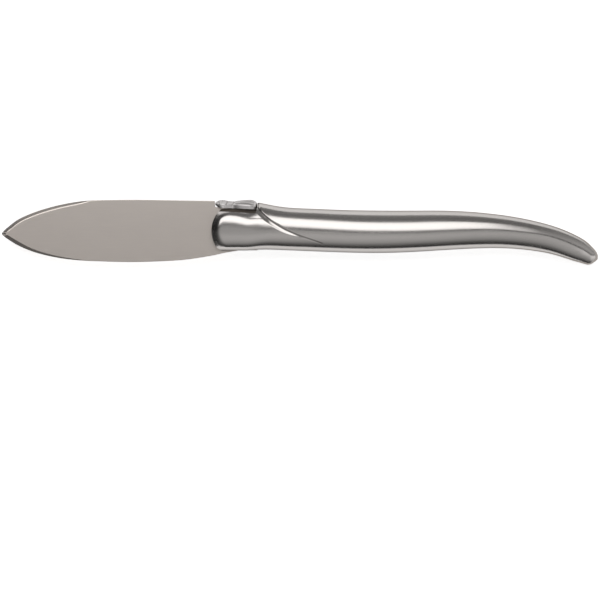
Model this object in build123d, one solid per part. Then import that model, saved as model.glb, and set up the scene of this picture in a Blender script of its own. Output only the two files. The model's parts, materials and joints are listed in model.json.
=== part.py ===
from build123d import *
import math
import os

# Oyster knife, lying on its side as it rests on a table.
# Millimetres. +X runs from the blade's point to the tail of the handle,
# +Y from the cutting edge to the spine, and +Z up from the table.
# The origin is the middle of the outline, on the table.
# The knife is the same on both sides of its middle plane, so each piece is
# modelled about that plane and lifted to its place at the end.

# Main sizes
blade_reach = 68.75
blade_width = 20.35
blade_thickness = 2.5
handle_length = 126.25
handle_height = 13.95
handle_thickness = 11.6
tang_thickness = 2.3
overrun = 5.0

# The line that both outlines follow, above the middle of the whole outline
axis_y = 0.38

# Blade
edge_thickness = 1.0
heel_gap = 0.95
heel_height = 9.85
heel_drop = 1.3
shoulder_clearance = 0.1

# Front of the handle, where it meets the blade
nose_radius = 9.8
nose_rounding = 3.0

# End of the tail
tail_rounding = 0.5

# How deep each side's crown is ground flat, so that the knife lies still
crown_grinding = 0.02

# The bee, the ornament on the spine, and its seat on the tang
bee_gap = 1.15
bee_length = 13.75
bee_height = 3.1
bee_width = 6.6
seat_height = 7.8
seat_drop = 0.7
seat_lean = 0.35
bee_bevel_length = 1.1
bee_bevel_height = 1.2

# The step in the two handle halves round the seat
recess_height = 6.75
recess_drop = 1.15
recess_lean = 0.65

# The carved line on each side of the handle
groove_depth = 0.9
groove_front_width = 2.2
groove_rear_width = 0.95
groove_least = 0.03

# Pins
bolster_pin_radius = 2.0
handle_pin_radius = 1.5
pin_clearance = 0.02

# Outline of the blade in front of its point's arc, as shares of the reach and
# of the width, from the point backwards. Each row is the outline and, beside
# it, the edge of the flat inside the bevel.
point_shares = [
    ((0.0048, -0.021), (0.0262, -0.014)),
    ((0.0, -0.047), (0.0205, -0.040)),
    ((0.0048, -0.069), (0.0262, -0.062)),
]
upper_tip_shares = [
    ((0.0048, -0.021), (0.0262, -0.014)),
    ((0.0190, 0.032), (0.0345, -0.006)),
    ((0.0476, 0.111), (0.0600, 0.060)),
    ((0.0762, 0.180), (0.0862, 0.126)),
]
upper_edge_shares = [
    ((0.0762, 0.180), (0.0862, 0.126)),
    ((0.1619, 0.309), (0.1686, 0.248)),
    ((0.2762, 0.419), (0.2800, 0.359)),
    ((0.3714, 0.475), (0.3729, 0.422)),
    ((0.4050, 0.486), (0.4060, 0.455)),
    ((0.4476, 0.492), (0.4476, 0.492)),
]
spine_shares = [(0.4476, 0.492), (0.6333, 0.502), (0.8000, 0.494)]
lower_edge_shares = [
    ((0.4571, -0.485), (0.4571, -0.485)),
    ((0.3714, -0.472), (0.3719, -0.456)),
    ((0.2762, -0.436), (0.2776, -0.407)),
    ((0.1619, -0.348), (0.1657, -0.304)),
    ((0.0857, -0.246), (0.0940, -0.190)),
    ((0.0476, -0.174), (0.0576, -0.119)),
    ((0.0190, -0.110), (0.0345, -0.072)),
    ((0.0048, -0.069), (0.0262, -0.062)),
]
belly_shares = [
    (1.1333, -0.309), (1.0143, -0.386), (0.8952, -0.451), (0.7762, -0.483),
    (0.6095, -0.498), (0.4571, -0.485),
]

# Sections of the handle from its front to its tail. Each row gives the place
# along the handle, then the widest line, its rise to the top and its fall to
# the bottom as shares of the handle's height, the thickness as a share of its
# thickness, the lean in degrees, and the squareness above and below the
# widest line: 2 is an ellipse, and more is squarer.
handle_shares = [
    (-0.031, 0.023, 0.517, 0.483, 0.98, 0.0, 2.75, 3.1),
    (0.026, 0.023, 0.517, 0.483, 0.99, 0.0, 2.75, 3.1),
    (0.083, 0.027, 0.520, 0.481, 1.00, 0.0, 2.75, 3.1),
    (0.130, 0.060, 0.588, 0.497, 0.99, 0.0, 2.5, 2.8),
    (0.1815, 0.058, 0.508, 0.504, 0.97, 0.0, 2.4, 2.5),
    (0.254, 0.0255, 0.498, 0.498, 0.96, 0.0, 2.25, 2.25),
    (0.332, -0.002, 0.497, 0.497, 0.98, 0.0, 2.05, 2.05),
    (0.4227, -0.018, 0.497, 0.497, 1.00, 0.0, 2.0, 2.0),
    (0.5135, -0.009, 0.4855, 0.4855, 0.985, 0.0, 2.0, 2.0),
    (0.591, 0.012, 0.4655, 0.4655, 0.945, 0.0, 2.0, 2.0),
    (0.669, 0.0176, 0.432, 0.432, 0.885, 0.0, 2.0, 2.0),
    (0.734, -0.002, 0.396, 0.396, 0.82, 0.0, 2.0, 2.0),
    (0.796, -0.061, 0.364, 0.364, 0.75, 11.2, 2.0, 2.0),
    (0.8506, -0.148, 0.3405, 0.3405, 0.69, 20.0, 2.0, 2.0),
    (0.897, -0.264, 0.325, 0.325, 0.62, 30.4, 2.0, 2.0),
    (0.932, -0.387, 0.305, 0.305, 0.56, 35.3, 2.0, 2.0),
    (0.9595, -0.506, 0.263, 0.263, 0.475, 32.4, 2.0, 2.0),
    (0.977, -0.597, 0.2135, 0.2135, 0.38, 31.5, 2.0, 2.0),
    (0.989, -0.6525, 0.150, 0.150, 0.26, 27.0, 2.0, 2.0),
    (0.996, -0.668, 0.073, 0.073, 0.13, 24.5, 2.0, 2.0),
]
section_points = 20

# Sections of the bee: place along it, height and half width as shares
bee_shares = [
    (0.00, 0.50, 0.40),
    (0.05, 0.72, 0.62),
    (0.20, 0.80, 0.86),
    (0.34, 0.78, 0.80),
    (0.45, 0.70, 0.64),
    (0.56, 0.82, 0.86),
    (0.72, 0.98, 1.00),
    (0.84, 1.00, 0.96),
    (0.94, 0.84, 0.74),
    (1.00, 0.62, 0.46),
]
bee_side_share = 0.42

# The carved line, as shares of the handle's length and height: where it
# runs, and how much of its full depth and of its flute's width it has there.
groove_shares = [
    (0.1203, 0.590, 1.00, 1.00),
    (0.1270, 0.441, 1.00, 1.00),
    (0.1387, 0.322, 0.95, 0.95),
    (0.1520, 0.202, 0.85, 0.83),
    (0.1652, 0.110, 0.75, 0.70),
    (0.1784, 0.038, 0.68, 0.58),
    (0.1950, -0.031, 0.58, 0.44),
    (0.2116, -0.082, 0.53, 0.22),
    (0.2313, -0.136, 0.47, 0.12),
    (0.2513, -0.202, 0.42, 0.10),
    (0.2679, -0.256, 0.32, 0.08),
    (0.2842, -0.314, 0.00, 0.00),
]
# The flute's curve: how far it has gone across and down at its two handles
flute_shares = ((0.30, 0.07), (0.62, 0.97))

# Places of the pins, as shares of the handle's length and height
bolster_pin_shares = (0.064, -0.165)
handle_pin_shares = {
    "front_handle_pin": (0.30, 0.02),
    "middle_handle_pin": (0.53, 0.0),
    "rear_handle_pin": (0.76, -0.02),
}

# Places worked out from the sizes
point_x = -(blade_reach + handle_length) / 2
nose_x = point_x + blade_reach
bee_x = nose_x + bee_gap
rest_height = handle_thickness / 2


def blade_point(shares, height=0.0):
    """A point of the blade's outline, given as shares of its reach and width."""
    return Vector(point_x + shares[0] * blade_reach, axis_y + shares[1] * blade_width, height)


def handle_point(shares, height=0.0):
    """A point beside the handle, given as shares of its length and height."""
    return Vector(nose_x + shares[0] * handle_length, axis_y + shares[1] * handle_height, height)


def plate(face, low, high):
    """A flat face on the middle plane, made a plate between two heights."""
    return Pos(0, 0, low) * extrude(face, amount=high - low, dir=(0, 0, 1))


def blade_outline(side, height):
    """The blade's outline at one height; side 0 is its edge, 1 the flat inside the bevels."""
    def curve(rows):
        return Edge.make_spline([blade_point(row[side], height) for row in rows])

    point = [blade_point(row[side], height) for row in point_shares]
    spine_end = Vector(nose_x + heel_gap, axis_y + heel_height, height)
    hidden_back = blade_point(belly_shares[0], height)
    hidden_top = Vector(hidden_back.X, spine_end.Y, height)
    spine = [blade_point(shares, height) for shares in spine_shares] + [spine_end]
    belly = [blade_point(shares, height) for shares in belly_shares]
    return Wire([
        Edge.make_three_point_arc(*point[::-1]),
        curve(upper_tip_shares),
        curve(upper_edge_shares),
        Edge.make_spline(spine),
        Edge.make_line(spine_end, hidden_top),
        Edge.make_line(hidden_top, hidden_back),
        Edge.make_spline(belly),
        curve(lower_edge_shares),
    ])


def upright(lean):
    """The handle's height, leaned over towards the tail."""
    lean = math.radians(lean)
    return Vector(math.sin(lean), math.cos(lean), 0) * handle_height


def handle_section(row):
    """One section of the handle: a leaning superellipse, drawn from its top."""
    along, widest, rise, fall, thickness, lean, upper_squareness, lower_squareness = row
    centre = handle_point((along, widest))
    up = upright(lean)
    out = Vector(0, 0, 1) * (thickness * handle_thickness / 2 + crown_grinding)
    points = []
    for step in range(section_points):
        turn = 2 * math.pi * step / section_points
        upper = math.cos(turn) > 0
        power = 2 / (upper_squareness if upper else lower_squareness)
        across = math.copysign(abs(math.cos(turn)) ** power, math.cos(turn)) * (rise if upper else fall)
        aside = math.copysign(abs(math.sin(turn)) ** power, math.sin(turn))
        points.append(centre + up * across + out * aside)
    turns = [step / section_points for step in range(section_points + 1)]
    return Face(Wire([Edge.make_spline(points, periodic=True, parameters=turns)]))


def handle_body():
    """The handle's outer form: nose round in plan, tail's rim rounded, crowns ground flat."""
    body = loft([handle_section(row) for row in handle_shares])
    tail = body.faces().filter_by(GeomType.PLANE).sort_by(Axis.X)[-1]
    body = body.fillet(tail_rounding, tail.edges())
    return body & plate(behind_nose(nose_radius), -handle_thickness / 2, handle_thickness / 2)


def tang_plan():
    """The tang's plan: the handle's outline at its widest, closed by a round tail."""
    middles = [handle_point(row[:2]) for row in handle_shares]
    tops = [middle + upright(row[5]) * row[2] for middle, row in zip(middles, handle_shares)]
    bottoms = [middle - upright(row[5]) * row[3] for middle, row in zip(middles, handle_shares)]
    tail_way = (tops[-1] - bottoms[-1]).cross(Vector(0, 0, 1)).normalized()
    tail_tip = (tops[-1] + bottoms[-1]) / 2 + tail_way * tail_rounding
    return Face(Wire([
        Edge.make_line(bottoms[0], tops[0]),
        Edge.make_spline(tops),
        Edge.make_three_point_arc(tops[-1], tail_tip, bottoms[-1]),
        Edge.make_spline(bottoms),
    ]))


def behind_nose(radius):
    """The plan of everything behind the round nose of the handle."""
    centre = Vector(nose_x + nose_radius, axis_y, 0)
    back = Rectangle(handle_length, handle_length, align=(Align.MIN, Align.CENTER))
    plan = Pos(centre) * (Circle(radius) + back)
    return plan


def whole_plan():
    """A plan larger than the whole handle."""
    return Pos(handle_point((0, 0))) * Rectangle(2 * handle_length, 2 * handle_length)


def seat_plan():
    """The notch above the bee's seat, from the heel of the blade to the handle's back."""
    heel_x = nose_x + heel_gap
    seat_front = Vector(bee_x, axis_y + seat_height, 0)
    seat_back = Vector(bee_x + bee_length, axis_y + seat_height - seat_drop, 0)
    top = axis_y + seat_height + handle_height
    return Face(Wire.make_polygon([
        (heel_x, top), (heel_x, axis_y + heel_height - heel_drop), seat_front, seat_back,
        seat_back + Vector(seat_lean, 0, 0), Vector(seat_back.X + seat_lean + recess_lean, top, 0),
    ]))


def recess_plan():
    """The step that leaves the tang's edge bare round the seat."""
    back_x = bee_x + bee_length
    floor_y = axis_y + recess_height
    front = Vector(nose_x - overrun, floor_y, 0)
    floor_back = Vector(back_x - recess_lean, floor_y - recess_drop, 0)
    seat_back = Vector(back_x + seat_lean, axis_y + seat_height - seat_drop, 0)
    top = axis_y + seat_height + handle_height
    return Face(Wire.make_polygon([
        front, floor_back, seat_back, (seat_back.X + recess_lean, top), (nose_x - overrun, top),
    ]))


def surface_at(skin, shares):
    """The point and the normal of the handle's upper side over a place in plan."""
    upright = Edge.make_line(handle_point(shares), handle_point(shares, handle_thickness))
    point = skin.distance_to_with_closest_points(upright)[1]
    return point, skin.normal_at(point)


def groove_cutter(skin):
    """A sliver with a steep rear flank and a shallow front flute, which runs out along the line."""
    spots = [surface_at(skin, row[:2]) for row in groove_shares]
    sections = []
    for index, (_, _, depth_share, flute_share) in enumerate(groove_shares):
        point, normal = spots[index]
        before = spots[max(index - 1, 0)][0]
        after = spots[min(index + 1, len(spots) - 1)][0]
        side = (after - before).cross(normal).normalized()
        reach = groove_front_width * flute_share + groove_least
        depth = groove_depth * depth_share
        front = point + side * reach + normal * groove_least
        deep = point + normal * (groove_least - depth)
        rear = point - side * (groove_rear_width * depth_share + groove_least) + normal * groove_least
        over = point + normal * (reach + groove_rear_width)
        handles = [
            front - side * (reach * across) - normal * (depth * down)
            for across, down in flute_shares
        ]
        flute = Edge.make_bezier(front, *handles, deep)
        rest = Polyline(deep, rear, over, front)
        sections.append(Face(Wire([flute] + rest.edges())))
    return loft(sections)


def pin(body, shares, radius):
    """A pin through the handle, ground flush with both sides."""
    return body & Pos(handle_point(shares)) * Cylinder(radius, handle_thickness + overrun)


def pin_holes():
    """The drilled holes of all the pins."""
    holes = [(bolster_pin_shares, bolster_pin_radius)]
    holes += [(shares, handle_pin_radius) for shares in handle_pin_shares.values()]
    return [
        Pos(handle_point(shares)) * Cylinder(radius + pin_clearance, handle_thickness + overrun)
        for shares, radius in holes
    ]


def make_blade():
    """The leaf-shaped blade and its full tang, one plate of steel."""
    flat = blade_thickness / 2
    edge = edge_thickness / 2
    tang = tang_thickness / 2
    layers = [(1, -flat), (0, -edge), (0, edge), (1, flat)]
    leaf = loft([Face(blade_outline(side, height)) for side, height in layers], ruled=True)
    hidden = behind_nose(nose_radius + shoulder_clearance)
    leaf = leaf.cut(plate(hidden, tang, flat + overrun), plate(hidden, -flat - overrun, -tang))
    steel = leaf + (plate(tang_plan(), -tang, tang) & plate(behind_nose(nose_radius), -tang, tang))
    return steel.cut(plate(seat_plan(), -handle_thickness, handle_thickness), *pin_holes())


def make_near_half(body):
    """The upper half of the handle, bolster and scale in one, over the tang."""
    half = body & plate(whole_plan(), tang_thickness / 2, handle_thickness)
    skin = half.faces().filter_by(GeomType.BSPLINE).sort_by(SortBy.AREA)[-1]
    nose = half.faces().filter_by(GeomType.CYLINDER)[0]
    rim = nose.edges().sort_by(Axis.Z)[-1]
    half = half.fillet(nose_rounding, [rim])
    return half.cut(plate(recess_plan(), 0, handle_thickness), groove_cutter(skin), *pin_holes())


def bee_section(row):
    """One section of the bee: upright sides under a round crown."""
    along, height, width = row
    base = Vector(bee_x + along * bee_length, axis_y + seat_height - along * seat_drop, 0)
    out = Vector(0, 0, width * bee_width / 2)
    crown = base + Vector(0, height * bee_height, 0)
    shoulder = base + Vector(0, height * bee_height * bee_side_share, 0)
    arc = Edge.make_three_point_arc(shoulder + out, crown, shoulder - out)
    line = Polyline(shoulder - out, base - out, base + out, shoulder + out)
    return Face(Wire([arc] + line.edges()))


def make_bee():
    """The bee: head and body, a waist, and the folded wings."""
    whole = loft([bee_section(row) for row in bee_shares])
    corner = Vector(bee_x, axis_y + seat_height, 0)
    bevel = Face(Wire.make_polygon([
        corner + Vector(0, bee_bevel_height, 0),
        corner + Vector(-overrun, bee_bevel_height, 0),
        corner + Vector(-overrun, -overrun, 0),
        corner + Vector(bee_bevel_length, -overrun, 0),
        corner + Vector(bee_bevel_length, 0, 0),
    ]))
    return whole - plate(bevel, -bee_width, bee_width)


body = handle_body()
near_half = make_near_half(body)
nodes = {
    "blade": make_blade(),
    "bee": make_bee(),
    "near_handle_half": near_half,
    "far_handle_half": mirror(near_half, about=Plane.XY),
    "bolster_pin": pin(body, bolster_pin_shares, bolster_pin_radius),
}
for name, shares in handle_pin_shares.items():
    nodes[name] = pin(body, shares, handle_pin_radius)

os.makedirs("parts", exist_ok=True)
for name, shape in nodes.items():
    export_step(Pos(0, 0, rest_height) * shape, f"parts/{name}.step")
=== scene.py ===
# %% [markdown]
# # An oyster knife in satin steel
# The knife lies on its side on a pale floor and is seen from straight above. A
# leaf-shaped blade runs on as a full tang between two handle halves. Four pins
# hold them, and a small carved bee sits on the spine. The CAD frame has plain
# solids of all these. This script draws each one again as a finer mesh, gives
# it its steel, and sets up floor, light and camera.
#
# The frame's rules come first: metres, +Z up from the floor, and the CAD nodes
# stay where they are.

import bmesh
import bpy
import json
import math
import numpy as np
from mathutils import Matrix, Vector
from mathutils.bvhtree import BVHTree


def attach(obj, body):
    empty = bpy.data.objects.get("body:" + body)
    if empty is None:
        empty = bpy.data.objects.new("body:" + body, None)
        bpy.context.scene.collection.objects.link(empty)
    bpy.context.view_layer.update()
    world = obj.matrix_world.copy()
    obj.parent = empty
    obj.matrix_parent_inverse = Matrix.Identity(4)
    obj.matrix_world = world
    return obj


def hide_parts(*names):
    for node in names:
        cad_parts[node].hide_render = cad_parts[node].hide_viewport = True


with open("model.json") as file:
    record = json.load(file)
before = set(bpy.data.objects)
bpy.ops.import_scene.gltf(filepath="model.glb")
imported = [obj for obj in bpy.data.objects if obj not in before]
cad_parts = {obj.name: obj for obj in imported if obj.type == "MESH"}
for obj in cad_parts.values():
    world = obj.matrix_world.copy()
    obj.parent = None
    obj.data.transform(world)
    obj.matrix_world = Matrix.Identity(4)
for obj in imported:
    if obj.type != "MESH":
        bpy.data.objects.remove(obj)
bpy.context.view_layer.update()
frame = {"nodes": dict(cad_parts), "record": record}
nodes = frame["nodes"]
millimetre = 0.001
print("CAD nodes:", ", ".join(sorted(nodes)))

# %% [markdown]
# ## Camera
# The photograph was taken from straight above with a long lens, which keeps
# the outline free of perspective. A 150 mm lens at about 0.82 m does that. The
# knife lies above the middle of the picture, so the camera stands a little
# toward the cutting edge's side and needs no lens shift.

# %% Camera
middle_height = 5.8 * millimetre
view_width = 196.44 * millimetre
view_centre = (0.07 * millimetre, -22.2 * millimetre)
lens_length = 150.0
sensor_width = 36.0
far_limit = 20.0

camera_data = bpy.data.cameras.new("camera")
camera_data.lens = lens_length
camera_data.sensor_width = sensor_width
camera_data.clip_end = far_limit
camera = bpy.data.objects.new("camera", camera_data)
bpy.context.scene.collection.objects.link(camera)
camera_distance = view_width * lens_length / sensor_width
camera.location = (*view_centre, middle_height + camera_distance)
bpy.context.scene.camera = camera
bpy.context.scene.view_settings.view_transform = "Standard"
print(f"camera {camera_distance:.3f} m above the knife's middle plane")

# %% [markdown]
# ## Colours and nodes
# Colours are written as the sRGB hex values that a picture editor shows, and
# one function turns them into the linear values that a renderer works with.
# One small helper adds a shader node, sets it and links it.

# %% Helpers for colours and nodes
def linear(hex_colour):
    """The linear RGBA of an sRGB hex colour."""
    parts = [int(hex_colour[i:i + 2], 16) / 255 for i in (1, 3, 5)]
    return [((c + 0.055) / 1.055) ** 2.4 if c > 0.04045 else c / 12.92 for c in parts] + [1.0]


def add_node(tree, kind, inputs=None, **settings):
    """Adds a node; an input is a plain value or another node's output to link."""
    node = tree.nodes.new(kind)
    for key, value in settings.items():
        setattr(node, key, value)
    for key, value in (inputs or {}).items():
        if isinstance(value, bpy.types.NodeSocket):
            tree.links.new(value, node.inputs[key])
        else:
            node.inputs[key].default_value = value
    return node


def new_material(name):
    """An empty node material, with its output node."""
    material = bpy.data.materials.new(name)
    material.use_nodes = True
    material.node_tree.nodes.clear()
    return material, add_node(material.node_tree, "ShaderNodeOutputMaterial")


def set_ramp(ramp_node, stops):
    """Gives a colour ramp its stops, each a place and a grey level."""
    elements = ramp_node.color_ramp.elements
    while len(elements) > 1:
        elements.remove(elements[-1])
    for index, (place, level) in enumerate(stops):
        element = elements[0] if index == 0 else elements.new(place)
        element.position = place
        element.color = (level, level, level, 1.0)


# %% [markdown]
# ## Floor
# A plain white sheet. Its diffuse white takes the knife's soft shadow. What
# the camera and the mirror-like steel see of it is lifted to paper white with
# a glow that lights nothing else.

# %% Floor
floor_size = 6.0
floor_white = linear("#fafafa")
floor_glow = 0.62

floor_mesh = bmesh.new()
bmesh.ops.create_grid(floor_mesh, x_segments=1, y_segments=1, size=floor_size / 2)
floor_data = bpy.data.meshes.new("floor")
floor_mesh.to_mesh(floor_data)
floor_mesh.free()
floor = bpy.data.objects.new("floor", floor_data)
bpy.context.scene.collection.objects.link(floor)

floor_paper, output = new_material("white_paper_sheet")
tree = floor_paper.node_tree
rays = add_node(tree, "ShaderNodeLightPath").outputs
seen = rays["Is Camera Ray"]
for kind in ("Is Glossy Ray", "Is Transmission Ray"):
    seen = add_node(tree, "ShaderNodeMath", {0: seen, 1: rays[kind]}, operation="MAXIMUM").outputs[0]
glow = add_node(tree, "ShaderNodeMath", {0: seen, 1: floor_glow}, operation="MULTIPLY")
paper = add_node(tree, "ShaderNodeBsdfDiffuse", {"Color": floor_white})
light = add_node(tree, "ShaderNodeEmission", {"Strength": glow.outputs[0]})
both = add_node(tree, "ShaderNodeAddShader", {0: paper.outputs[0], 1: light.outputs[0]})
tree.links.new(both.outputs[0], output.inputs["Surface"])
floor_data.materials.append(floor_paper)
print(f"floor sheet {floor_size} m wide, with a glow of {floor_glow}")

# %% [markdown]
# ## Room
# Bare steel has hardly a tone of its own. It shows its surroundings, so the
# room is drawn by what each slope of the knife has to mirror. A picture of a
# real studio round the scene could do that too, but here each bright and dark
# place is a number that can be set. Two ramps are multiplied, one on how far a
# direction points across the knife and one on how far it points along it. The
# first is light grey above the knife and dark toward the cutting edge's side.
# Its black bar beside the softbox draws the thin dark line under the long
# highlight. The second darkens the blade's end of the room, which gives the
# bolster's round front its dark crescent.

# %% Room
# each stop: how far a direction points that way, from -1 to 1, and its level
levels_across = [
    (-1.0, 0.03), (-0.92, 0.09), (-0.78, 0.24), (-0.62, 0.44), (-0.43, 0.58),
    (-0.2, 0.70), (0.035, 0.74), (0.07, 0.04), (0.185, 0.04), (0.215, 0.40),
    (0.75, 0.20), (0.91, 0.22), (1.0, 0.34),
]
levels_along = [
    (-1.0, 0.06), (-0.8, 0.10), (-0.6, 0.28), (-0.4, 0.58), (-0.15, 0.88),
    (0.0, 1.0), (0.1, 0.95), (0.22, 0.80), (0.35, 1.1), (0.5, 1.6), (1.0, 1.6),
]

world = bpy.data.worlds.new("room")
bpy.context.scene.world = world
world.use_nodes = True
tree = world.node_tree
tree.nodes.clear()
direction = add_node(tree, "ShaderNodeTexCoord").outputs["Generated"]
directions = add_node(tree, "ShaderNodeSeparateXYZ", {0: direction}).outputs
ramps = []
for axis, levels in (("Y", levels_across), ("X", levels_along)):
    whole_range = {"Value": directions[axis], "From Min": -1.0, "From Max": 1.0}
    place = add_node(tree, "ShaderNodeMapRange", whole_range)
    ramp = add_node(tree, "ShaderNodeValToRGB", {"Fac": place.outputs["Result"]})
    set_ramp(ramp, [((reach + 1) / 2, level) for reach, level in levels])
    ramps.append(ramp.outputs["Color"])
both_ways = {"Factor": 1.0, "A": ramps[0], "B": ramps[1]}
room = add_node(tree, "ShaderNodeMix", both_ways, data_type="RGBA", blend_type="MULTIPLY")
background = add_node(tree, "ShaderNodeBackground", {"Color": room.outputs["Result"]})
add_node(tree, "ShaderNodeOutputWorld", {"Surface": background.outputs[0]})
print(f"room: {len(levels_across)} levels across the knife, {len(levels_along)} along it")

# %% [markdown]
# ## Softbox
# One long softbox hangs beyond the spine's side and draws the bright line
# along bolster and handle. Its angle and its width say where on the rounded
# steel that line begins and ends. It stops short of the tail, where the line
# fades out. The room could hold one more bright place instead, but a lamp also
# casts the knife's soft shadow, and its highlight comes out with less noise.

# %% Softbox
softbox_distance = 0.6
softbox_angle = math.radians(28.8)
softbox_width = 0.35
softbox_length = 0.595
softbox_middle = -0.1025
softbox_power = 1.3

softbox_data = bpy.data.lights.new("softbox", "AREA")
softbox_data.shape = "RECTANGLE"
softbox_data.size = softbox_length
softbox_data.size_y = softbox_width
softbox_data.energy = softbox_power
softbox = bpy.data.objects.new("softbox", softbox_data)
bpy.context.scene.collection.objects.link(softbox)
softbox.location = (
    softbox_middle,
    softbox_distance * math.sin(softbox_angle),
    softbox_distance * math.cos(softbox_angle),
)
softbox.rotation_euler = (-softbox_angle, 0, 0)
print(f"softbox {softbox_length} x {softbox_width} m, {softbox_distance} m away")

# %% [markdown]
# ## Steel
# Every piece is bare stainless steel, and only its last grinding differs. Belt
# and brush leave fine scratches along the knife, so one noise, stretched along
# X, changes tone, gloss and height together. Real scratches are a few
# hundredths of a millimetre wide. They would be lost at this picture's size,
# so they are drawn ten times as wide and very faint. Carved lines and strokes
# get painted shade: each mesh carries a value named carving at its vertices,
# which mixes a dark tone in where the cuts lie in shade.

# %% Steel
edge_tint = linear("#aaaaaa")
# the dark tone of the painted shade in carved lines and strokes
groove_shade_tone = linear("#5c5753")
grain_low, grain_high = 0.3, 0.7


def brushed_steel(name, colour, dark_colour, gloss, grain):
    """Steel brushed along X. gloss: roughness, its change. grain: length, width, height in mm."""
    material, output = new_material(name)
    tree = material.node_tree
    roughness, change = gloss
    length, width, height = (size * millimetre for size in grain)
    place = add_node(tree, "ShaderNodeTexCoord").outputs["Object"]
    stretch = {"Vector": place, "Scale": (1 / length, 1 / width, 1 / width)}
    streaks = add_node(tree, "ShaderNodeMapping", stretch)
    noise = {"Vector": streaks.outputs[0], "Scale": 1.0, "Detail": 3.0, "Roughness": 0.6}
    level = add_node(tree, "ShaderNodeTexNoise", noise).outputs["Fac"]
    tones = {"Factor": level, "A": linear(dark_colour), "B": linear(colour)}
    tone = add_node(tree, "ShaderNodeMix", tones, data_type="RGBA").outputs["Result"]
    rough = add_node(tree, "ShaderNodeMapRange", {
        "Value": level,
        "From Min": grain_low,
        "From Max": grain_high,
        "To Min": roughness - change,
        "To Max": roughness + change,
    })
    relief = add_node(tree, "ShaderNodeBump", {"Height": level, "Strength": 1.0, "Distance": height})
    # painted shade: the carving value at each vertex mixes the dark tone in
    carving = add_node(tree, "ShaderNodeAttribute", attribute_name="carving").outputs["Fac"]
    painted_shade_mix = {"Factor": carving, "A": tone, "B": groove_shade_tone}
    carved = add_node(tree, "ShaderNodeMix", painted_shade_mix, data_type="RGBA")
    steel = add_node(tree, "ShaderNodeBsdfPrincipled", {
        "Base Color": carved.outputs["Result"],
        "Metallic": 1.0,
        "Roughness": rough.outputs["Result"],
        "Normal": relief.outputs["Normal"],
        "Specular Tint": edge_tint,
    })
    tree.links.new(steel.outputs[0], output.inputs["Surface"])
    return material


# %% [markdown]
# ## The finishes
# The blade is ground flat with a worn belt, the handle is polished and then
# brushed, and the bee is filed by hand. The recess round the bee gets a dark,
# dull steel that paints the shade lying in it. Each finish has two tones that
# its streaks run between.

# %% Finishes
finishes = {
    # even and matt, with a warm tone: the flat mirrors nothing, so it reads as one pale grey
    "blade_steel": brushed_steel(
        "satin_ground_stainless_steel", "#ccc4bd", "#c4bcb6", (0.33, 0.03), (6, 0.25, 0.001)),
    # glossier and neutral: soft-edged mirror bands run along the handle and show its form
    "handle_steel": brushed_steel(
        "brushed_stainless_steel", "#c0bcb9", "#b6b2af", (0.21, 0.03), (12, 0.25, 0.001)),
    # a little brighter and rougher: small facets catch light without a clear mirror image
    "bee_steel": brushed_steel(
        "filed_stainless_steel", "#c4c1c0", "#b6b3b2", (0.36, 0.04), (2, 0.3, 0.002)),
    # painted shade, dull and dark: the slot round the bee stays a dark brown gap
    "recess_steel": brushed_steel(
        "painted_shade_recess_steel", "#6a635c", "#524c46", (0.55, 0.05), (0.5, 0.3, 0.004)),
}
# the pins' heads were polished and brushed with the handle, and vanish in it
finishes["pin_steel"] = finishes["handle_steel"]

for part in frame["record"]["subparts"]:
    node = nodes[part["node"]]
    node.data.materials.clear()
    node.data.materials.append(finishes[part["material_slot"]])
print("finishes:", ", ".join(sorted(material.name for material in set(finishes.values()))))

# %% [markdown]
# ## Smooth curves
# The long forms of the knife flow without a kink, and on bright steel even a
# small kink shows as a bent reflection. So each form is drawn as a few chosen
# rows of numbers, and a cubic spline, whose bend changes smoothly, gives the
# rows between them. Curve objects would do as well, but a row of numbers can be
# measured and corrected by itself. Sizes from here on are millimetres from the
# knife's middle plane, and each finished piece is scaled and lifted to its place.

# %% Smooth curves
def smooth_curve(places, rows):
    """A function that gives the row at any place, on a spline through the given rows."""
    places, rows = np.array(places, float), np.array(rows, float)
    step = np.diff(places)
    slope = np.diff(rows, axis=0) / step[:, None]
    matrix, wanted = np.eye(len(places)), np.zeros_like(rows)
    for i in range(1, len(places) - 1):
        matrix[i, i - 1:i + 2] = step[i - 1], 2 * (step[i - 1] + step[i]), step[i]
        wanted[i] = 6 * (slope[i] - slope[i - 1])
    bend = np.linalg.solve(matrix, wanted)

    def row_at(place):
        place = np.asarray(place, float)
        i = np.clip(np.searchsorted(places, place) - 1, 0, len(places) - 2)
        gap, before, after = step[i], place - places[i], places[i + 1] - place
        gap, before, after = gap[..., None], before[..., None], after[..., None]
        curve = (bend[i] * after ** 3 + bend[i + 1] * before ** 3) / (6 * gap)
        from_left = (rows[i] / gap - bend[i] * gap / 6) * after
        from_right = (rows[i + 1] / gap - bend[i + 1] * gap / 6) * before
        return curve + from_left + from_right

    return row_at


def eased(share):
    """A share from 0 to 1 that starts and ends gently."""
    return share * share * (3 - 2 * share)


# %% [markdown]
# ## Sheets that are wrapped over a form
# A flat grid is the plainest mesh there is. Each piece below starts as one,
# and its points are then moved to where the form has them, as sheet metal is
# drawn over a block. A grid's rows follow the form, so reflections stay clean.
# Boxes that are bevelled and joined would leave seams that bright steel shows.

# %% Sheets
merge_distance = 0.0004


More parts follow.
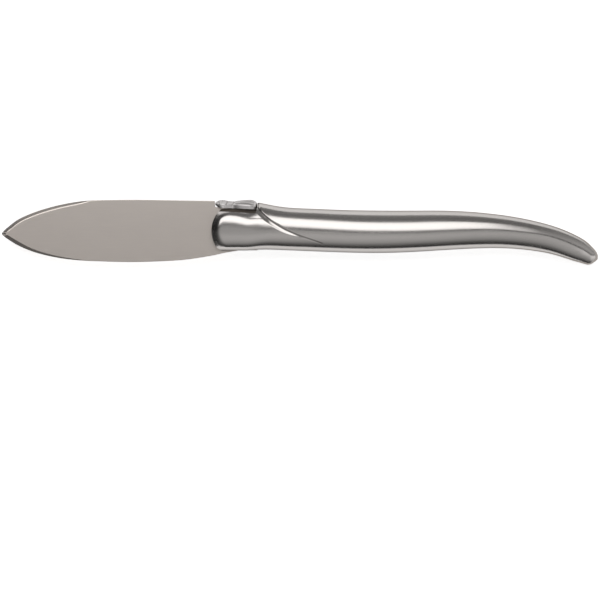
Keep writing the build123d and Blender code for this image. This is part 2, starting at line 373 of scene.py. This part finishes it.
def new_sheet(points, marks=None):
    """A grid mesh drawn to points, rows by columns by three; marks say how much painted shade each one
    gets.
    """
    rows, columns = points.shape[:2]
    mesh = bmesh.new()
    # a value at each point for the painted shade in carved lines
    mesh.verts.layers.float.new("carving")
    bmesh.ops.create_grid(mesh, x_segments=columns - 1, y_segments=rows - 1, size=0.5)

    def row_and_column(vertex):
        row = round((vertex.co.y + 0.5) * (rows - 1))
        return row, round((vertex.co.x + 0.5) * (columns - 1))

    order = sorted(mesh.verts, key=row_and_column)
    for vertex, point in zip(order, points.reshape(-1, 3)):
        vertex.co = point
    if marks is not None:
        carving = mesh.verts.layers.float["carving"]
        for vertex, mark in zip(order, marks.ravel()):
            vertex[carving] = mark
    return mesh


def pull_walls(mesh, edges, height):
    """Pulls walls from the edges, straight up or down to a height."""
    for item in bmesh.ops.extrude_edge_only(mesh, edges=edges)["geom"]:
        if isinstance(item, bmesh.types.BMVert):
            item.co.z = height


def add_mirror_image(mesh):
    """Adds the half below the knife's middle plane."""
    everything = [*mesh.verts, *mesh.edges, *mesh.faces]
    bmesh.ops.mirror(mesh, geom=everything, axis="Z", merge_dist=merge_distance)


# %% [markdown]
# ## Finishing a piece
# Each sheet ends the same way. Points that meet are merged, the faces are
# turned outward, and millimetres become metres. Shading is smooth, except over
# edges that are sharp on the steel as well. Then the piece gets its finishes,
# is hung on the knife's root body, and the plain solid it stands for is hidden.

# %% Finishing a piece
def finish_piece(mesh, name, finish_names, node, far_side=False, sharp_angle=40):
    """Merges, turns outward and places a piece, and hides the plain solid it stands for."""
    bmesh.ops.remove_doubles(mesh, verts=mesh.verts, dist=merge_distance)
    bmesh.ops.dissolve_degenerate(mesh, edges=mesh.edges, dist=merge_distance)
    if far_side:
        bmesh.ops.scale(mesh, verts=mesh.verts, vec=(1, 1, -1))
    bmesh.ops.recalc_face_normals(mesh, faces=mesh.faces)
    bmesh.ops.scale(mesh, verts=mesh.verts, vec=(millimetre,) * 3)
    bmesh.ops.translate(mesh, verts=mesh.verts, vec=(0, 0, middle_height))
    for face in mesh.faces:
        face.smooth = True
    data = bpy.data.meshes.new(name)
    mesh.to_mesh(data)
    data.set_sharp_from_angle(angle=math.radians(sharp_angle))
    triangles = sum(len(f.verts) - 2 for f in mesh.faces)
    open_edges = sum(1 for e in mesh.edges if len(e.link_faces) != 2)
    mesh.free()
    piece = bpy.data.objects.new(name, data)
    bpy.context.scene.collection.objects.link(piece)
    for finish in finish_names:
        data.materials.append(finishes[finish])
    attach(piece, "root")
    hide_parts(node)
    print(f"{name}: {triangles} triangles, {open_edges} open edges")


# %% [markdown]
# ## The handle's form
# Each half of the handle, bolster and all, is one casting, ground and brushed
# round. Its sections are superellipses: a squareness of 2 is an ellipse, and
# more is squarer. The bolster is squarest, which gives it a broad face with a
# sharp-edged reflection, and the tail is round, thin and leans down.

# %% Handle sections
axis_y = 0.38
nose_x = -28.75
handle_length = 126.25
handle_height = 13.95
half_thickness = 5.8
tang_half = 1.15

# place along the handle; widest line, rise and fall as shares of its height;
# share of its thickness; lean in degrees; squareness above and below
handle_rows = [
    (-0.031, 0.023, 0.495, 0.483, 0.975, 0.0, 3.2, 3.6),
    (0.026, 0.023, 0.495, 0.483, 0.985, 0.0, 3.2, 3.6),
    (0.070, 0.017, 0.509, 0.473, 0.995, 0.0, 2.8, 3.6),
    (0.098, 0.000, 0.539, 0.454, 0.995, 0.0, 2.5, 3.5),
    (0.1185, -0.014, 0.671, 0.427, 0.99, 0.0, 2.3, 3.2),
    (0.130, -0.018, 0.670, 0.419, 0.988, 0.0, 2.25, 3.0),
    (0.1815, -0.006, 0.572, 0.440, 0.97, 0.0, 2.2, 2.8),
    (0.254, -0.022, 0.5455, 0.4505, 0.96, 0.0, 2.12, 2.7),
    (0.332, -0.053, 0.548, 0.446, 0.98, 0.0, 2.05, 2.7),
    (0.4227, -0.072, 0.551, 0.443, 1.00, 0.0, 2.0, 2.6),
    (0.5135, -0.068, 0.5445, 0.4265, 0.985, 0.0, 2.0, 2.5),
    (0.591, -0.042, 0.5195, 0.4115, 0.945, 0.0, 2.0, 2.5),
    (0.669, -0.010, 0.4596, 0.4044, 0.885, 0.0, 2.0, 2.4),
    (0.734, -0.004, 0.398, 0.394, 0.82, 0.0, 2.0, 2.35),
    (0.796, -0.045, 0.348, 0.380, 0.75, 11.2, 2.0, 2.25),
    (0.8506, -0.110, 0.3025, 0.3785, 0.68, 20.0, 2.0, 2.2),
    (0.897, -0.230, 0.291, 0.352, 0.59, 30.4, 2.0, 2.2),
    (0.932, -0.367, 0.285, 0.315, 0.51, 35.3, 2.0, 2.2),
    (0.9595, -0.506, 0.263, 0.252, 0.42, 32.4, 2.0, 2.1),
    (0.977, -0.597, 0.2135, 0.205, 0.345, 31.5, 2.0, 2.0),
    (0.989, -0.642, 0.155, 0.160, 0.26, 27.0, 2.0, 2.0),
    (0.996, -0.645, 0.080, 0.085, 0.13, 24.5, 2.0, 2.0),
]
handle_row = smooth_curve([row[0] for row in handle_rows], [row[1:] for row in handle_rows])


def handle_skin(along, over):
    """Points of the upper half's skin: along its length, and over from its back to its belly."""
    row = np.moveaxis(handle_row(along), -1, 0)
    widest, rise, fall, thickness, lean, square_above, square_below = row
    thickness = thickness * half_thickness
    start = [
        np.arctan2(1, np.maximum((tang_half / thickness) ** -square - 1, 0) ** (1 / square))
        for square in (square_above, square_below)
    ]
    turn = start[0] + over * (np.pi - start[0] - start[1])
    above = turn < np.pi / 2
    square = np.where(above, square_above, square_below)
    reach = (np.abs(np.cos(turn)) ** square + np.abs(np.sin(turn)) ** square) ** (-1 / square)
    across = reach * np.cos(turn) * np.where(above, rise, fall) * handle_height
    lean = np.radians(lean)
    x = nose_x + along * handle_length + np.sin(lean) * across
    y = axis_y + widest * handle_height + np.cos(lean) * across
    return np.stack([x, y, reach * np.sin(turn) * thickness], axis=-1)


# %% [markdown]
# ## Rows of the handle's sheet
# A reflection is only as clean as the mesh under it, but fine rows everywhere
# would make a heavy mesh. So the rows are close where the form turns fast: at
# the bolster's rim, along the carved line and round the tail. The halves end
# where they have become as thin as the tang between them, and halving a range
# again and again finds that place.

# %% Rows of the sheet
nose_rounding = 3.0
nose_count, tail_count, over_count = 20, 14, 176
halvings = 40
# millimetres behind the nose: where the carving starts and ends, and where tail and tip start
carving_from, carving_to, tail_from, tip_from = 14.2, 36.4, 112.0, 122.0
rows_apart = [
    (nose_rounding, carving_from, 0.5),
    (carving_from, carving_to, 0.13),
    (carving_to, tail_from, 0.8),
    (tail_from, tip_from, 0.4),
]


def thickness_left(along):
    """How much thicker than the tang one half is at a place along the handle."""
    return handle_row(along)[3] * half_thickness - tang_half


tail_end, too_thin = 0.97, 0.996
for _ in range(halvings):
    middle = (tail_end + too_thin) / 2
    if thickness_left(middle) > 0:
        tail_end = middle
    else:
        too_thin = middle

nose_rows = nose_rounding * (1 - np.cos(np.linspace(0, np.pi / 2, nose_count)))
tip_length = tail_end * handle_length - tip_from
tail_rows = tip_from + tip_length * np.sin(np.linspace(0, np.pi / 2, tail_count))
row_places = [nose_rows[:-1]] + [np.arange(start, end, step) for start, end, step in rows_apart]
row_places = np.concatenate(row_places + [tail_rows])
print(f"{len(row_places)} rows, the halves end {row_places[-1]:.2f} mm behind the nose")

# %% [markdown]
# ## The carved line
# A line sweeps from the bee down across the handle and parts bolster from
# scale. It is cut with the corner of a wheel: behind it a short steep flank,
# before it a wide hollow flute that narrows as the line runs out. The polisher
# also took the bolster's upper part down toward the line, so it falls away a
# little there. A boolean cut would leave ragged faces beside such a fine line,
# so the sheet's own points are sunk. The bottom of the cut gets painted shade:
# every point near it gets a mark, and the steel is darker by that mark.

# %% Carved line
# x, y, depth, width of the flank behind, width of the flute before
carved_rows = [
    (-13.49, 8.56, 0.12, 0.55, 1.00),
    (-13.39, 7.91, 0.14, 0.55, 1.00),
    (-13.19, 7.25, 0.16, 0.55, 1.05),
    (-12.60, 6.27, 0.18, 0.52, 1.10),
    (-11.62, 5.29, 0.21, 0.52, 1.12),
    (-10.54, 4.31, 0.24, 0.52, 1.15),
    (-9.27, 3.32, 0.26, 0.55, 1.15),
    (-7.73, 2.34, 0.26, 0.60, 1.15),
    (-6.09, 1.36, 0.24, 0.60, 1.10),
    (-4.19, 0.38, 0.20, 0.55, 0.95),
    (-1.80, -0.61, 0.13, 0.45, 0.75),
    (0.98, -1.59, 0.06, 0.35, 0.50),
    (3.83, -2.57, 0.045, 0.30, 0.36),
    (6.61, -3.55, 0.04, 0.28, 0.28),
    (7.70, -4.00, 0.00, 0.26, 0.25),
]
# the painted shade in the cut: its width and strength, and the depth from which a cut has one
line_width, line_shade, shallowest = 0.2, 0.8, 0.02
line_core = 1.2
flute_hollow = 1.6
path_points = 900
ends_within = 1.0
# the bolster falls away above this height, from this place on, and up to the line
dip_above, dip_bend, dip_reach, dip_slope = 2.6, 0.056, 1.9, 0.06
dip_from, dip_blend, line_end = -19.0, 4.5, 8.2
carved_row = smooth_curve(np.linspace(0, 1, len(carved_rows)), carved_rows)
carved_path = carved_row(np.linspace(0, 1, path_points))


def nearest_on_line(spots, at_once=4000):
    """For each spot, the number of the nearest point of the carved line, some spots at a time."""
    nearest = np.empty(len(spots), int)
    for start in range(0, len(spots), at_once):
        gaps = spots[start:start + at_once, None, :2] - carved_path[None, :, :2]
        nearest[start:start + at_once] = np.argmin((gaps ** 2).sum(-1), axis=1)
    return nearest


def carve(points):
    """Sinks the skin along the carved line; gives the points back, and a mark of painted shade for
    each.
    """
    near = (points[..., 0] > dip_from) & (points[..., 0] < line_end)
    spots = points[near]
    nearest = nearest_on_line(spots)
    path, (depth, flank, flute) = carved_path[:, :2], carved_path[nearest, 2:].T
    way = np.gradient(path, axis=0)
    way /= np.linalg.norm(way, axis=1)[:, None]
    offset = spots[:, :2] - path[nearest]
    side = way[nearest, 0] * offset[:, 1] - way[nearest, 1] * offset[:, 0]
    far_off = np.abs(offset).sum(-1) > ends_within
    past_end = (nearest == len(path) - 1) | (nearest == 0) & far_off

    above = np.clip(spots[:, 1] - dip_above, 0, None)
    dip = dip_bend * np.minimum(above, dip_reach) ** 2 + dip_slope * np.clip(above - dip_reach, 0, None)
    dip *= eased(np.clip((spots[:, 0] - dip_from) / dip_blend, 0, 1))

    behind = np.clip(1 - side / flank, 0, 1)
    before = 1 - np.clip(-side / flute, 0, 1) ** flute_hollow
    sink = np.where(side > 0, (depth + dip) * behind, depth * before * ~past_end + dip)
    sink *= ~(past_end & (side > 0))
    spots[:, 2] = np.maximum(spots[:, 2] - sink, tang_half)
    points[near] = spots

    cut = (depth > shallowest) & ~past_end
    # painted shade along the bottom of the cut, strongest on the line
    marks = np.zeros(points.shape[:-1])
    marks[near] = line_shade * np.clip(line_core - np.abs(side) / line_width, 0, 1) * cut
    return points, marks


# %% [markdown]
# ## The bee's recess
# Behind the blade's heel the halves are stepped down round the bee's seat.
# Between the bee and the bright bolster the step lies in shade and reads as a
# dark slot, so its ledge gets a dark steel that paints that shade. The mesh is
# cut along the step's plan, and the faces inside the cut are let down to the
# ledge. This step is sharp, and that is why it is cut here and not pressed into
# the sheet.

# %% Recess
recess_plan = [(-34.0, 7.13), (-14.5, 5.98), (-13.85, 7.40), (-13.75, 16.0), (-34.0, 16.0)]
seat_plan = [(-34.0, 8.35), (-13.85, 7.40), (-13.75, 16.0), (-34.0, 16.0)]
ledge_top = 1.5
ledge_relief = 0.02
cut_margin = 0.2
cut_distance = 0.0005
above_tang = tang_half + 0.01


def faces_over(mesh, plan):
    """The faces above a plan, once the mesh is cut along the plan's sides."""
    corners = [Vector((x, y, 0)) for x, y in plan]
    sides = []
    for start, end in zip(corners, corners[1:] + corners[:1]):
        outward = Vector((end.y - start.y, start.x - end.x, 0))
        sides.append((start, outward))
        low = [min(start[i], end[i]) - cut_margin for i in (0, 1)]
        high = [max(start[i], end[i]) + cut_margin for i in (0, 1)]
        centres = [(f, f.calc_center_median()) for f in mesh.faces]
        near = [f for f, c in centres if low[0] < c.x < high[0] and low[1] < c.y < high[1]]
        near += [*{e for f in near for e in f.edges}, *{v for f in near for v in f.verts}]
        bmesh.ops.bisect_plane(mesh, geom=near, dist=cut_distance, plane_co=start, plane_no=outward)
    centres = [(f, f.calc_center_median()) for f in mesh.faces]
    return [f for f, c in centres if all((c - start).dot(outward) < 0 for start, outward in sides)]


def sink_recess(mesh):
    """Steps the skin down to the ledge, and takes it away over the bee's seat."""
    top_faces = faces_over(mesh, recess_plan)
    sunk = bmesh.ops.extrude_face_region(mesh, geom=top_faces)["geom"]
    bmesh.ops.delete(mesh, geom=[f for f in top_faces if f.is_valid], context="FACES")
    for item in sunk:
        if isinstance(item, bmesh.types.BMVert):
            item.co.z = min(item.co.z, ledge_top + ledge_relief * (item.co.z - ledge_top))
        # the ledge's faces take the second finish, whose dark steel paints the slot's shade
        if isinstance(item, bmesh.types.BMFace):
            item.material_index = 1
    bmesh.ops.remove_doubles(mesh, verts=mesh.verts, dist=merge_distance)
    bmesh.ops.delete(mesh, geom=faces_over(mesh, seat_plan), context="FACES")
    rim = [e for e in mesh.edges if e.is_boundary and max(v.co.z for v in e.verts) > above_tang]
    pull_walls(mesh, rim, tang_half)
    bmesh.ops.remove_doubles(mesh, verts=mesh.verts, dist=merge_distance)


# %% [markdown]
# ## The two halves
# Seen from above, the bolster's front is round like the end of a tongue, so
# the sheet's first rows are bent to that curve and straighten further back. Its
# rim is rounded over, and no edge stands up on the blade. Then the line is
# carved, the recess is stepped down, and one flat face closes the half where
# it lies on the tang. The far half is the same one, turned over.

# %% Handle halves
nose_radius = 9.8
nose_reach = 9.5
nose_straight_after = 13.5
# the lower corner of the front runs further back, from this far below the axis
nose_corner, nose_corner_from = 0.7, 5.2
nose_slope, nose_easing = 0.78, 0.7
# how far a point moves depends on where it comes to lie, so its place is found in rounds
settling_rounds = 6


def handle_half():
    """One half of the handle: a sheet drawn over its form, carved, closed and stepped."""
    back = row_places[:, None]
    over = np.linspace(0, 1, over_count)[None, :]
    bent = eased(np.clip(1 - back / nose_straight_after, 0, 1))
    curve = np.zeros_like(back + over)
    for _ in range(settling_rounds):
        points = handle_skin((back + curve * bent) / handle_length, over + 0 * back)
        height = points[..., 1] - axis_y
        curve = nose_radius - np.sqrt(nose_radius ** 2 - np.clip(height, -nose_reach, nose_reach) ** 2)
        curve += nose_corner * np.clip(-height - nose_corner_from, 0, None) ** 2

    from_wall = nose_radius - np.hypot(points[..., 0] - nose_x - nose_radius, points[..., 1] - axis_y)
    inside = np.clip(1 - from_wall / nose_rounding, 0, 1) * (points[..., 0] < nose_x + nose_radius)
    gentle, steady = inside ** 2 / (2 * nose_easing), inside - nose_easing / 2
    round_over = np.where(inside < nose_easing, gentle, steady)
    drop = nose_slope * nose_rounding * round_over / (half_thickness - tang_half)
    points[..., 2] -= np.maximum(points[..., 2] - tang_half, 0) * drop

    points, marks = carve(points)
    foot = points[:1] * (1, 1, 0) + (0, 0, tang_half)
    mesh = new_sheet(np.concatenate([foot, points]), np.concatenate([0 * marks[:1], marks]))
    bmesh.ops.remove_doubles(mesh, verts=mesh.verts, dist=merge_distance)
    sink_recess(mesh)
    bmesh.ops.contextual_create(mesh, geom=[e for e in mesh.edges if e.is_boundary])
    return mesh


half = handle_half()
far = half.copy()
skin_tree = BVHTree.FromBMesh(half)
# the second finish is the dark steel that paints the shade in the bee's slot
skins = ["handle_steel", "recess_steel"]
finish_piece(half, "near_handle_casting", skins, "near_handle_half")
finish_piece(far, "far_handle_casting", skins, "far_handle_half", far_side=True)

# %% [markdown]
# ## Pins
# Four pins go right through and hold the halves. They were peened over and
# ground down with the handle, so their heads have its very curve. Only the
# bolster's pin is thick enough to leave a faint ring. A plain cylinder's flat
# head would stand out of the round handle on one side. So each pin starts as a
# disc, and its points are dropped on the skin from above.

# %% Pins
ring_shares = (0.03, 0.03, 0.14, 0.2, 0.2, 0.2)
high_above = 20
# place along and across the handle, radius, how far the head stands proud, how deep its rim lies
pins = {
    "bolster_pin": ((0.064, -0.165), 2.0, 0.012, 0.03),
    "front_handle_pin": ((0.30, 0.02), 1.5, 0.006, 0.0),
    "middle_handle_pin": ((0.53, 0.0), 1.5, 0.006, 0.0),
    "rear_handle_pin": ((0.76, -0.02), 1.5, 0.006, 0.0),
}


def pin_piece(node, place, radius, proud, sunk_rim):
    """A pin whose head follows the handle's skin, a little proud, with a sunk rim."""
    mesh = bmesh.new()
    bmesh.ops.create_circle(mesh, cap_ends=True, cap_tris=False, segments=96, radius=radius)
    mesh.faces.ensure_lookup_table()
    middle = mesh.faces[0]
    for share in ring_shares:
        bmesh.ops.inset_region(mesh, faces=[middle], thickness=radius * share)
    middle_x = nose_x + place[0] * handle_length
    middle_y = axis_y + place[1] * handle_height
    bmesh.ops.translate(mesh, verts=mesh.verts, vec=(middle_x, middle_y, 0))
    for vertex in mesh.verts:
        above = Vector((vertex.co.x, vertex.co.y, high_above))
        skin_point = skin_tree.ray_cast(above, Vector((0, 0, -1)))[0]
        vertex.co.z = skin_point.z + (-sunk_rim if vertex.is_boundary else proud)
    pull_walls(mesh, [e for e in mesh.edges if e.is_boundary], 0)
    add_mirror_image(mesh)
    finish_piece(mesh, node + "_steel", ["pin_steel"], node)


for node, measures in pins.items():
    pin_piece(node, *measures)

# %% [markdown]
# ## The bee
# A small bee sits on the spine where blade and handle meet, a traditional
# ornament. It is filed from a block: upright sides, a narrow bright bevel along
# each shoulder, and a steep roof over which head, body and folded wings are
# marked with a few strokes of a file's edge. Here a sheet is drawn over that
# roof, and the strokes are pressed into it. It could be sculpted by hand, but
# for so small and rough a form a few rows of numbers are enough.

# %% The bee's form
# x, top, shoulder, foot, half width, how far the foot is cut under
bee_rows = [
    (-27.60, 9.48, 9.15, 8.89, 1.7, 0.4),
    (-27.30, 9.94, 9.09, 8.63, 2.25, 0.3),
    (-26.90, 10.20, 9.05, 8.27, 2.5, 0.2),
    (-26.45, 10.39, 9.05, 8.00, 2.7, 0.1),
    (-25.70, 10.53, 9.02, 7.91, 2.85, 0.0),
    (-24.20, 10.43, 8.82, 7.81, 2.9, 0.0),
    (-23.10, 10.20, 8.92, 7.79, 2.65, 0.0),
    (-21.90, 10.10, 8.86, 7.74, 2.4, 0.0),
    (-20.60, 10.26, 8.79, 7.68, 2.75, 0.0),
    (-19.20, 10.46, 8.76, 7.61, 3.1, 0.0),
    (-17.30, 10.61, 8.59, 7.51, 3.3, 0.0),
    (-15.70, 10.59, 8.37, 7.42, 3.2, 0.0),
    (-14.80, 10.33, 8.17, 7.38, 2.7, 0.0),
    (-14.20, 9.81, 8.23, 7.51, 1.9, 0.0),
    (-13.90, 9.20, 8.40, 7.90, 0.9, 0.0),
]
bee_row = smooth_curve([row[0] for row in bee_rows], [row[1:] for row in bee_rows])
bevel_low, bevel_high, bevel_in, bevel_share = 0.08, 0.14, 0.06, 0.3
undercut_bend = 1.5
# the roof leans in by these degrees, from the shoulder up to its flat ridge
roof_turn = np.radians(np.interp(np.linspace(0, 1, 60), [0, 0.8, 1], [52, 66, 90]))
roof_up = np.cumsum(np.cos(roof_turn)) / np.cos(roof_turn).sum()
roof_in = np.cumsum(np.sin(roof_turn)) / np.sin(roof_turn).sum()


def bee_side(along):
    """The section from foot to roof ridge on one side, as rows of height and width."""
    top, shoulder, foot, half_width, undercut = np.moveaxis(bee_row(along), -1, 0)[..., None]
    wall = np.linspace(0, 1, 9)
    wall_y = foot + (shoulder - bevel_low - foot) * wall
    wall_z = half_width * (1 - undercut * (1 - wall) ** undercut_bend)
    bevel = np.linspace(0, 1, 5)[1:]
    bevel_y = shoulder - bevel_low + (bevel_low + bevel_high) * bevel
    bevel_z = half_width - np.minimum(bevel_in, bevel_share * half_width) * bevel
    roof_y = shoulder + bevel_high + (top - shoulder - bevel_high) * roof_up
    roof_z = bevel_z[:, -1:] * (1 - roof_in)
    heights = np.concatenate([wall_y, bevel_y, roof_y], axis=1)
    widths = np.concatenate([wall_z, bevel_z, roof_z], axis=1)
    return heights, widths


# %% [markdown]
# ## The bee's strokes
# Head, neck, body and folded wings are only hinted at. Each stroke is a
# shallow round groove along a short curve. Its bottom gets painted shade, as
# the carved line's does.

# %% The bee's strokes
# each stroke: how deep and how wide it is, then the points it runs through
bee_strokes = [
    (0.10, 0.26, [(-26.8, 10.15), (-26.3, 9.7), (-26.25, 9.1)]),
    (0.05, 0.20, [(-25.0, 10.45), (-25.35, 9.9), (-25.6, 9.3)]),
    (0.12, 0.28, [(-23.5, 10.3), (-23.85, 9.55), (-24.2, 8.75)]),
    (0.10, 0.26, [(-21.3, 10.2), (-21.7, 9.55), (-22.1, 8.8)]),
    (0.10, 0.24, [(-20.9, 9.3), (-18.6, 9.2), (-16.6, 9.12), (-15.2, 8.8)]),
    (0.08, 0.22, [(-19.3, 9.7), (-17.7, 9.82), (-16.0, 9.8), (-15.0, 9.6)]),
    (0.05, 0.18, [(-18.0, 10.25), (-16.5, 10.25), (-15.4, 10.1)]),
]


def stroke_depths(points):
    """How deep each point lies in a stroke, in millimetres."""
    depth = np.zeros(points.shape[:-1])
    for deep, width, corners in bee_strokes:
        path = smooth_curve(np.linspace(0, 1, len(corners)), corners)(np.linspace(0, 1, 60))
        gap = np.linalg.norm(points[..., None, :2] - path, axis=-1).min(-1)
        depth = np.maximum(depth, deep * np.clip(1 - (gap / width) ** 2, 0, 1))
    return depth


# %% [markdown]
# ## The bee's mesh
# The section is drawn from foot to ridge, down the other side and back to its
# start, and such rings follow one another from head to tail. Each point in a
# stroke is then pressed in, square to the surface. At both ends the rings
# shrink to one point, which closes the mesh.

# %% The bee's mesh
bee_front, bee_front_to, bee_back_from = -27.60, -27.0, -14.5
bee_end, bee_step = 0.6, 0.08
# strength of the painted shade in the strokes, and the depth at which it has that strength
stroke_shade, deepest_stroke = 0.5, 0.12
# against a division by zero, and for normals that lie in the middle plane
tiny, nudge = 1e-9, 0.001

quarter = np.linspace(0, np.pi / 2, 14)
bee_places = np.concatenate([
    bee_front + bee_end * (1 - np.cos(quarter))[:-1],
    np.arange(bee_front_to, bee_back_from, bee_step),
    bee_back_from + bee_end * np.sin(quarter),
])
side_y, side_z = bee_side(bee_places)
ring_y = np.concatenate([side_y, side_y[:, -2::-1], side_y[:, :1]], axis=1)
ring_z = np.concatenate([side_z, -side_z[:, -2::-1], side_z[:, :1]], axis=1)
ring_x = np.broadcast_to(bee_places[:, None], ring_y.shape)
bee_points = np.stack([ring_x, ring_y, ring_z], axis=-1)

outward = np.cross(np.gradient(bee_points, axis=0), np.gradient(bee_points, axis=1))
outward /= np.linalg.norm(outward, axis=-1)[..., None] + tiny
outward *= np.sign(outward[..., 2:] * bee_points[..., 2:] + nudge)
depths = stroke_depths(bee_points)
bee_points -= outward * depths[..., None]

ends = [bee_points[i].mean(0) * np.ones_like(bee_points[i]) for i in (0, -1)]
bee_points = np.concatenate([ends[:1], bee_points, ends[1:]])
depths = np.concatenate([0 * depths[:1], depths, 0 * depths[:1]])
bee_mesh = new_sheet(bee_points, stroke_shade * depths / deepest_stroke)
finish_piece(bee_mesh, "carved_bee", ["bee_steel"], "bee", sharp_angle=12)

# %% [markdown]
# ## The blade's outline
# One plate of steel is the leaf-shaped blade and, behind it, the tang between
# the handle halves. Both of the point's edges are ground to blunt bevels that
# fade into the straight part of the blade. A bevel modifier would make them
# equally wide everywhere. So each row of numbers is one place along the blade,
# and gives both outlines and both edges of its flat.

# %% Blade outline
blade_reach = 68.75
blade_width = 20.35
point_x = nose_x - blade_reach
# upper outline, upper edge of the flat, lower edge of the flat, lower outline:
# x and y as shares of the blade's reach and width, from the point backwards
blade_rows = [
    (0.0000, -0.044, 0.0200, -0.037, 0.0200, -0.041, 0.0000, -0.048),
    (0.0012, -0.031, 0.0215, -0.024, 0.0218, -0.052, 0.0012, -0.060),
    (0.0048, -0.018, 0.0262, -0.012, 0.0262, -0.062, 0.0048, -0.072),
    (0.0190, 0.032, 0.0360, 0.000, 0.0345, -0.076, 0.0190, -0.110),
    (0.0476, 0.111, 0.0600, 0.060, 0.0576, -0.125, 0.0476, -0.174),
    (0.0810, 0.190, 0.0910, 0.136, 0.0940, -0.196, 0.0857, -0.246),
    (0.1619, 0.309, 0.1686, 0.252, 0.1657, -0.310, 0.1619, -0.348),
    (0.2762, 0.419, 0.2800, 0.363, 0.2776, -0.411, 0.2762, -0.436),
    (0.3714, 0.475, 0.3729, 0.430, 0.3719, -0.461, 0.3714, -0.472),
    (0.4150, 0.488, 0.4150, 0.470, 0.4150, -0.477, 0.4150, -0.481),
    (0.4600, 0.494, 0.4600, 0.487, 0.4600, -0.482, 0.4600, -0.486),
    (0.6250, 0.502, 0.6250, 0.495, 0.6095, -0.494, 0.6095, -0.498),
    (0.7900, 0.495, 0.7900, 0.488, 0.7762, -0.479, 0.7762, -0.483),
    (0.9000, 0.489, 0.9000, 0.482, 0.8952, -0.447, 0.8952, -0.451),
    (1.0138, 0.484, 1.0138, 0.477, 1.0143, -0.382, 1.0143, -0.386),
]
blade_row = smooth_curve(np.linspace(0, 1, len(blade_rows)), blade_rows)
steps = np.concatenate([np.linspace(0, 0.2, 60)[:-1], np.linspace(0.2, 1, 120)])
leaf = blade_row(steps).reshape(-1, 4, 2) * (blade_reach, blade_width) + (point_x, axis_y)

# %% [markdown]
# ## The tang's outline
# Behind the heel the plate is notched for the bee, and from there on it has
# the very outline of the handle. On a real knife both are ground together, so
# the tang's outline is taken from the rows of the handle's form.

# %% Tang outline
notch_top = [(-27.78, 8.93), (-27.60, 8.18), (-20.0, 7.79), (-13.87, 7.48), (-13.78, 9.40)]
notch_bottom = [(-26.0, -7.06), (-24.0, -6.65), (-19.58, -5.91), (-16.0, -5.95), (-14.2, -5.98)]
tang_from, tang_to = 0.119, 0.996
tip_beyond = 0.5

along = np.linspace(tang_from, tang_to, 240)
widest, rise, fall, _, lean, _, _ = np.moveaxis(handle_row(along), -1, 0)
lean = np.radians(lean)
up = np.stack([np.sin(lean), np.cos(lean)], axis=-1) * handle_height
middles = np.stack([nose_x + along * handle_length, axis_y + widest * handle_height], axis=-1)
tang_top = middles + up * rise[:, None]
tang_bottom = middles - up * fall[:, None]
onward = np.array([up[-1][1], -up[-1][0]]) / handle_height
tail_tip = (tang_top[-1] + tang_bottom[-1]) / 2 + onward * tip_beyond

# %% [markdown]
# ## The plate
# The sheet runs across the plate in rows, from the upper outline to the lower
# one. The upper bevel is ground flatter than the lower one, so that it catches
# the lamp, and a small facet of its own lies between it and the flat. The
# tang's edges are hardly broken. Only the upper half is drawn, and its mirror
# image closes the plate.

# %% Blade and tang sheet
blade_half = 1.25
upper_slope, lower_slope = 0.44, 0.65
facet_width, facet_slope = 0.3, 0.22
broken_edge = 0.02
tip_half = 0.05


def width_of(one_side, other_side):
    """The distance between two outlines, row by row."""
    return np.linalg.norm(one_side - other_side, axis=-1)


def plate_rows(top, bottom, half):
    """Rows across a plain plate with hardly broken edges."""
    top, bottom = np.asarray(top, float), np.asarray(bottom, float)
    way = (bottom - top) / width_of(bottom, top)[:, None] * broken_edge
    flat = np.stack([top, top, top + way / 2, top + way, bottom - way, bottom, bottom], axis=1)
    edge = half - broken_edge
    heights = np.array([0, edge, half - broken_edge / 2, half, half, edge, 0])[:, None]
    return np.concatenate([flat, np.broadcast_to(heights, flat.shape[:2] + (1,))], axis=-1)


top, flat_top, flat_bottom, bottom = (leaf[:, i] for i in range(4))
upper_edge = blade_half - upper_slope * width_of(top, flat_top)
lower_edge = blade_half - lower_slope * width_of(bottom, flat_bottom)
facet_share = np.minimum(facet_width / width_of(top, flat_top), 0.5)[:, None]
facet = flat_top + (top - flat_top) * facet_share
level = np.full(len(leaf), blade_half)
facet_level = level - facet_slope * width_of(facet, flat_top)
leaf_plan = np.stack([top, top, facet, flat_top, flat_bottom, bottom, bottom], axis=1)
leaf_levels = [0 * level, upper_edge, facet_level, level, level, lower_edge, 0 * level]
leaf_sheet = np.concatenate([leaf_plan, np.stack(leaf_levels, axis=-1)[..., None]], axis=-1)

notch_sheet = plate_rows(notch_top, notch_bottom, blade_half)
notch_sheet[2:, :, 2] *= tang_half / blade_half
tang_sheet = plate_rows(tang_top, tang_bottom, tang_half)
tail_row = plate_rows([tail_tip + (0, tip_half)], [tail_tip - (0, tip_half)], tang_half)
point_row, end_row = leaf_sheet[:1] * (1, 1, 0), tail_row * (1, 1, 0)
blade_points = np.concatenate([point_row, leaf_sheet, notch_sheet, tang_sheet, tail_row, end_row])

blade_mesh = new_sheet(blade_points)
bmesh.ops.remove_doubles(blade_mesh, verts=blade_mesh.verts, dist=merge_distance)
add_mirror_image(blade_mesh)
finish_piece(blade_mesh, "blade_with_tang", ["blade_steel"], "blade", sharp_angle=10)
